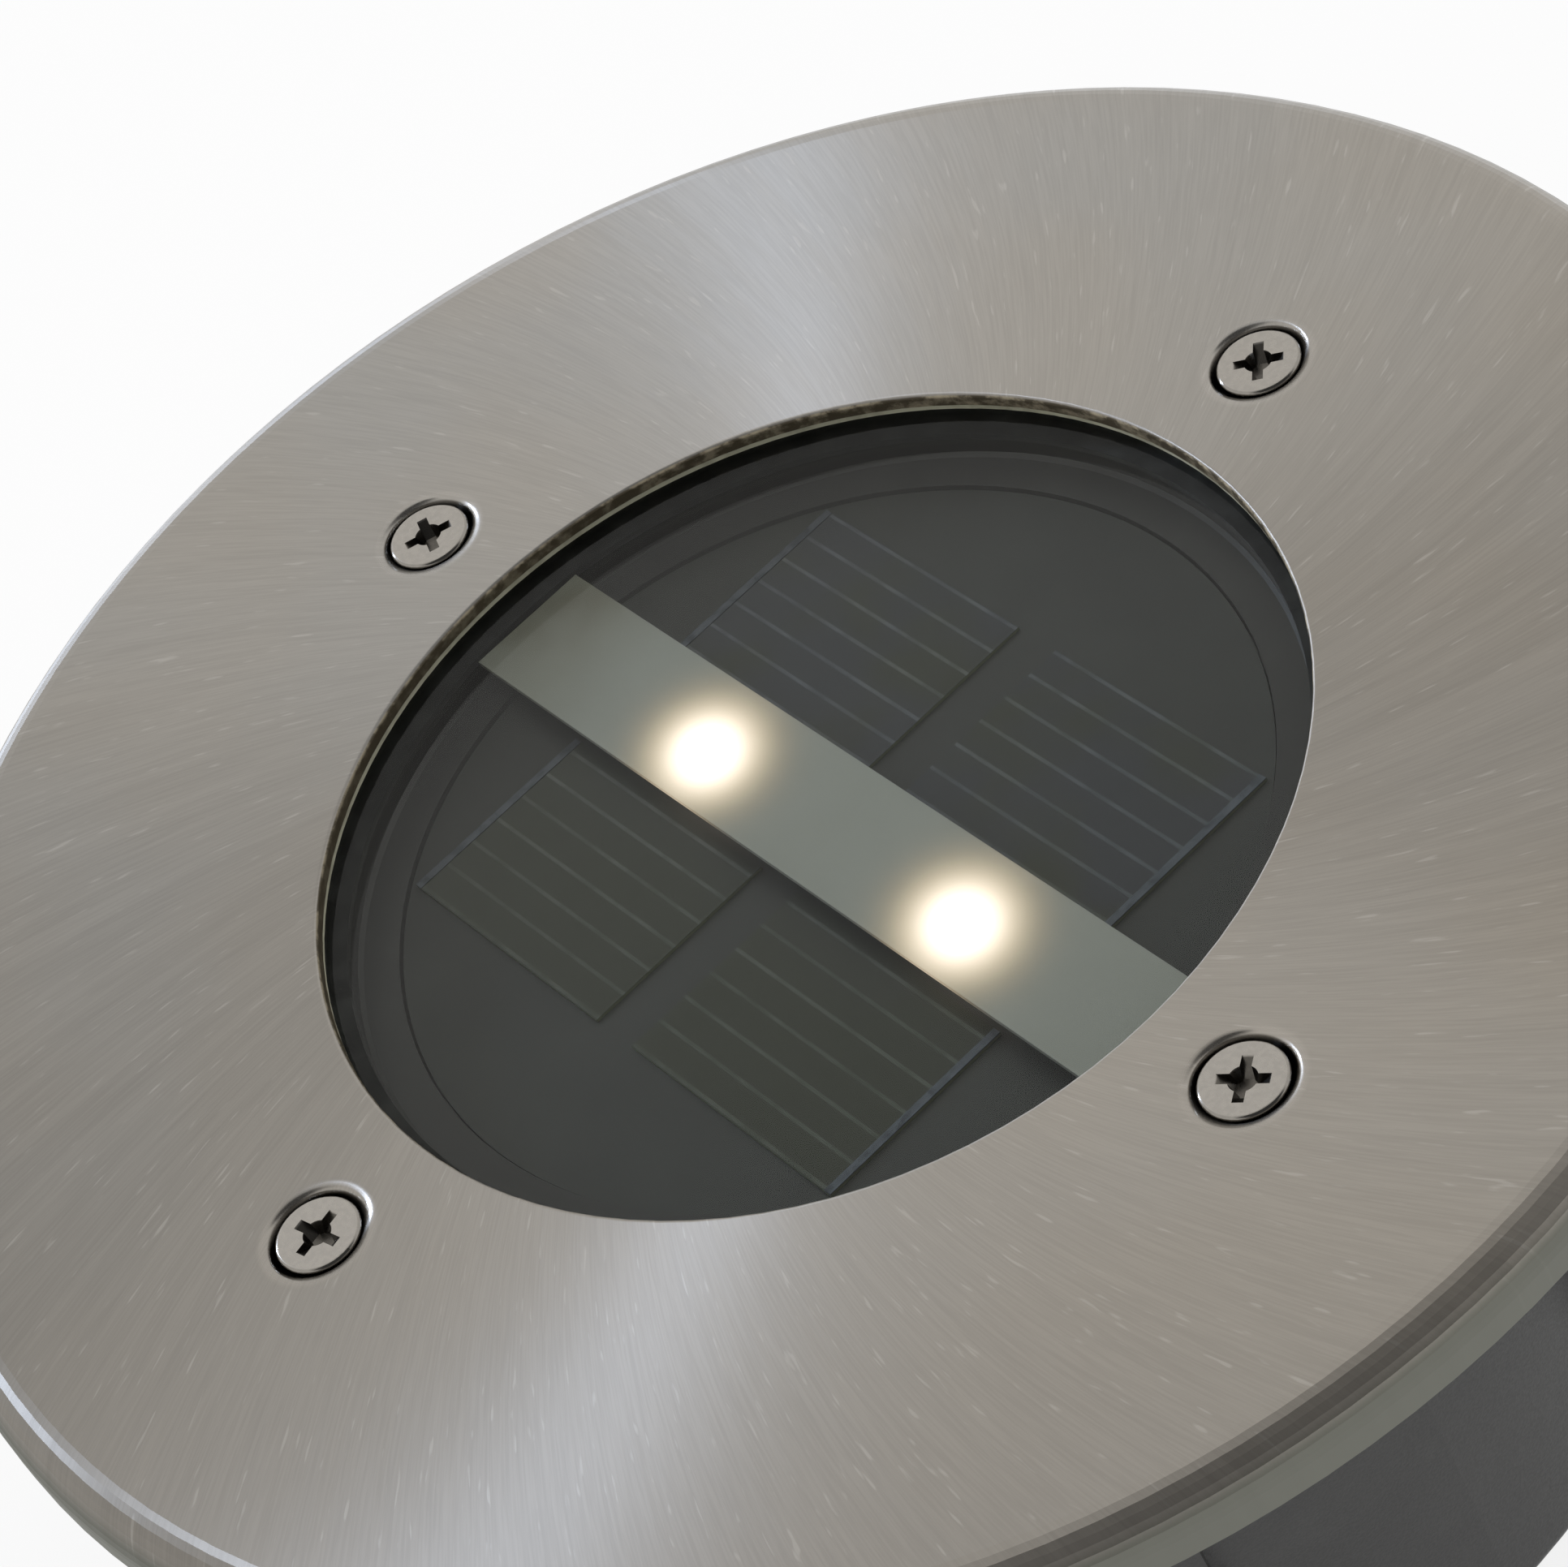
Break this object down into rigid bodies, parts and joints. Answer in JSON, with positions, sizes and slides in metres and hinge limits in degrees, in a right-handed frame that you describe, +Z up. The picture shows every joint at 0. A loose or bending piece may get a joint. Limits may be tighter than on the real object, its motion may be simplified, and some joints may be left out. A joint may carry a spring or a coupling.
{
  "type": "solar ground spotlight",
  "caption": "Recessed round solar ground light: brushed steel face plate with a glass window over a frosted light strip and solar cells, on a moulded cup with battery and push switch.",
  "frame": {"origin": "centre of the foot ring's lower face, on the light's axis", "axes": "+Z up out of the window, X along the light strip, the switch on the -Y side of the underside"},
  "size_m": [0.13, 0.13, 0.055],
  "materials": {
    "plate_steel": "brushed in curved strokes",
    "screw_nickel": "nickel plated",
    "pale_silicone": "translucent, satin",
    "clear_glass": "clear, polished",
    "frosted_plastic": "frosted",
    "black_rubber": "matt",
    "black_plastic": "fine moulded texture",
    "board_resin": "cast resin, satin",
    "cell_silicon": "dark cell under resin",
    "tinned_copper": "tinned",
    "lamp_resin": "warm white, lit",
    "circuit_green": "solder mask",
    "ferrite": "matt",
    "chip_resin": "matt",
    "capacitor_can": "sleeved can",
    "insert_brass": "turned",
    "battery_sleeve": "plain printed sleeve",
    "grey_rubber": "matt",
    "button_rubber": "satin",
    "nut_steel": "zinc plated",
    "red_lead": "insulated",
    "black_lead": "insulated"
  },
  "bodies": {
    "light": {"face_plate": "plate_steel", "face_screws": "screw_nickel", "window_gasket": "pale_silicone", "window_glass": "clear_glass", "light_strip": "frosted_plastic", "glass_seal": "black_rubber", "panel_frame": "black_plastic", "frame_seal": "black_rubber", "solar_board": "board_resin", "solar_cell_1": "cell_silicon", "solar_cell_2": "cell_silicon", "solar_cell_3": "cell_silicon", "solar_cell_4": "cell_silicon", "cell_busbars": "tinned_copper", "led_1": "lamp_resin", "led_2": "lamp_resin", "control_board": "circuit_green", "board_screws": "screw_nickel", "power_inductor": "ferrite", "controller_chip": "chip_resin", "storage_capacitor": "capacitor_can", "housing_cup": "black_plastic", "screw_inserts": "insert_brass", "battery_cell": "battery_sleeve", "battery_spring": "tinned_copper", "spring_plate": "tinned_copper", "battery_contact": "tinned_copper", "battery_cover": "black_plastic", "battery_cover_seal": "grey_rubber", "battery_cover_screws": "screw_nickel", "switch_body": "chip_resin", "button_spring": "tinned_copper", "switch_seal": "black_rubber", "switch_nut": "nut_steel", "panel_lead_positive": "red_lead", "panel_lead_negative": "black_lead", "battery_lead_positive": "red_lead", "battery_lead_negative": "black_lead", "switch_lead_1": "red_lead", "switch_lead_2": "black_lead"},
    "button": {"switch_button": "button_rubber"}
  },
  "joints": [
    {"name": "switch_press", "type": "slide", "parent": "light", "child": "button", "axis": [0, 0, 1], "range_m": [0, 0.0015], "stiffness_N_per_m": 800, "springref_m": -0.001, "deforming": ["button_spring"]}
  ]
}
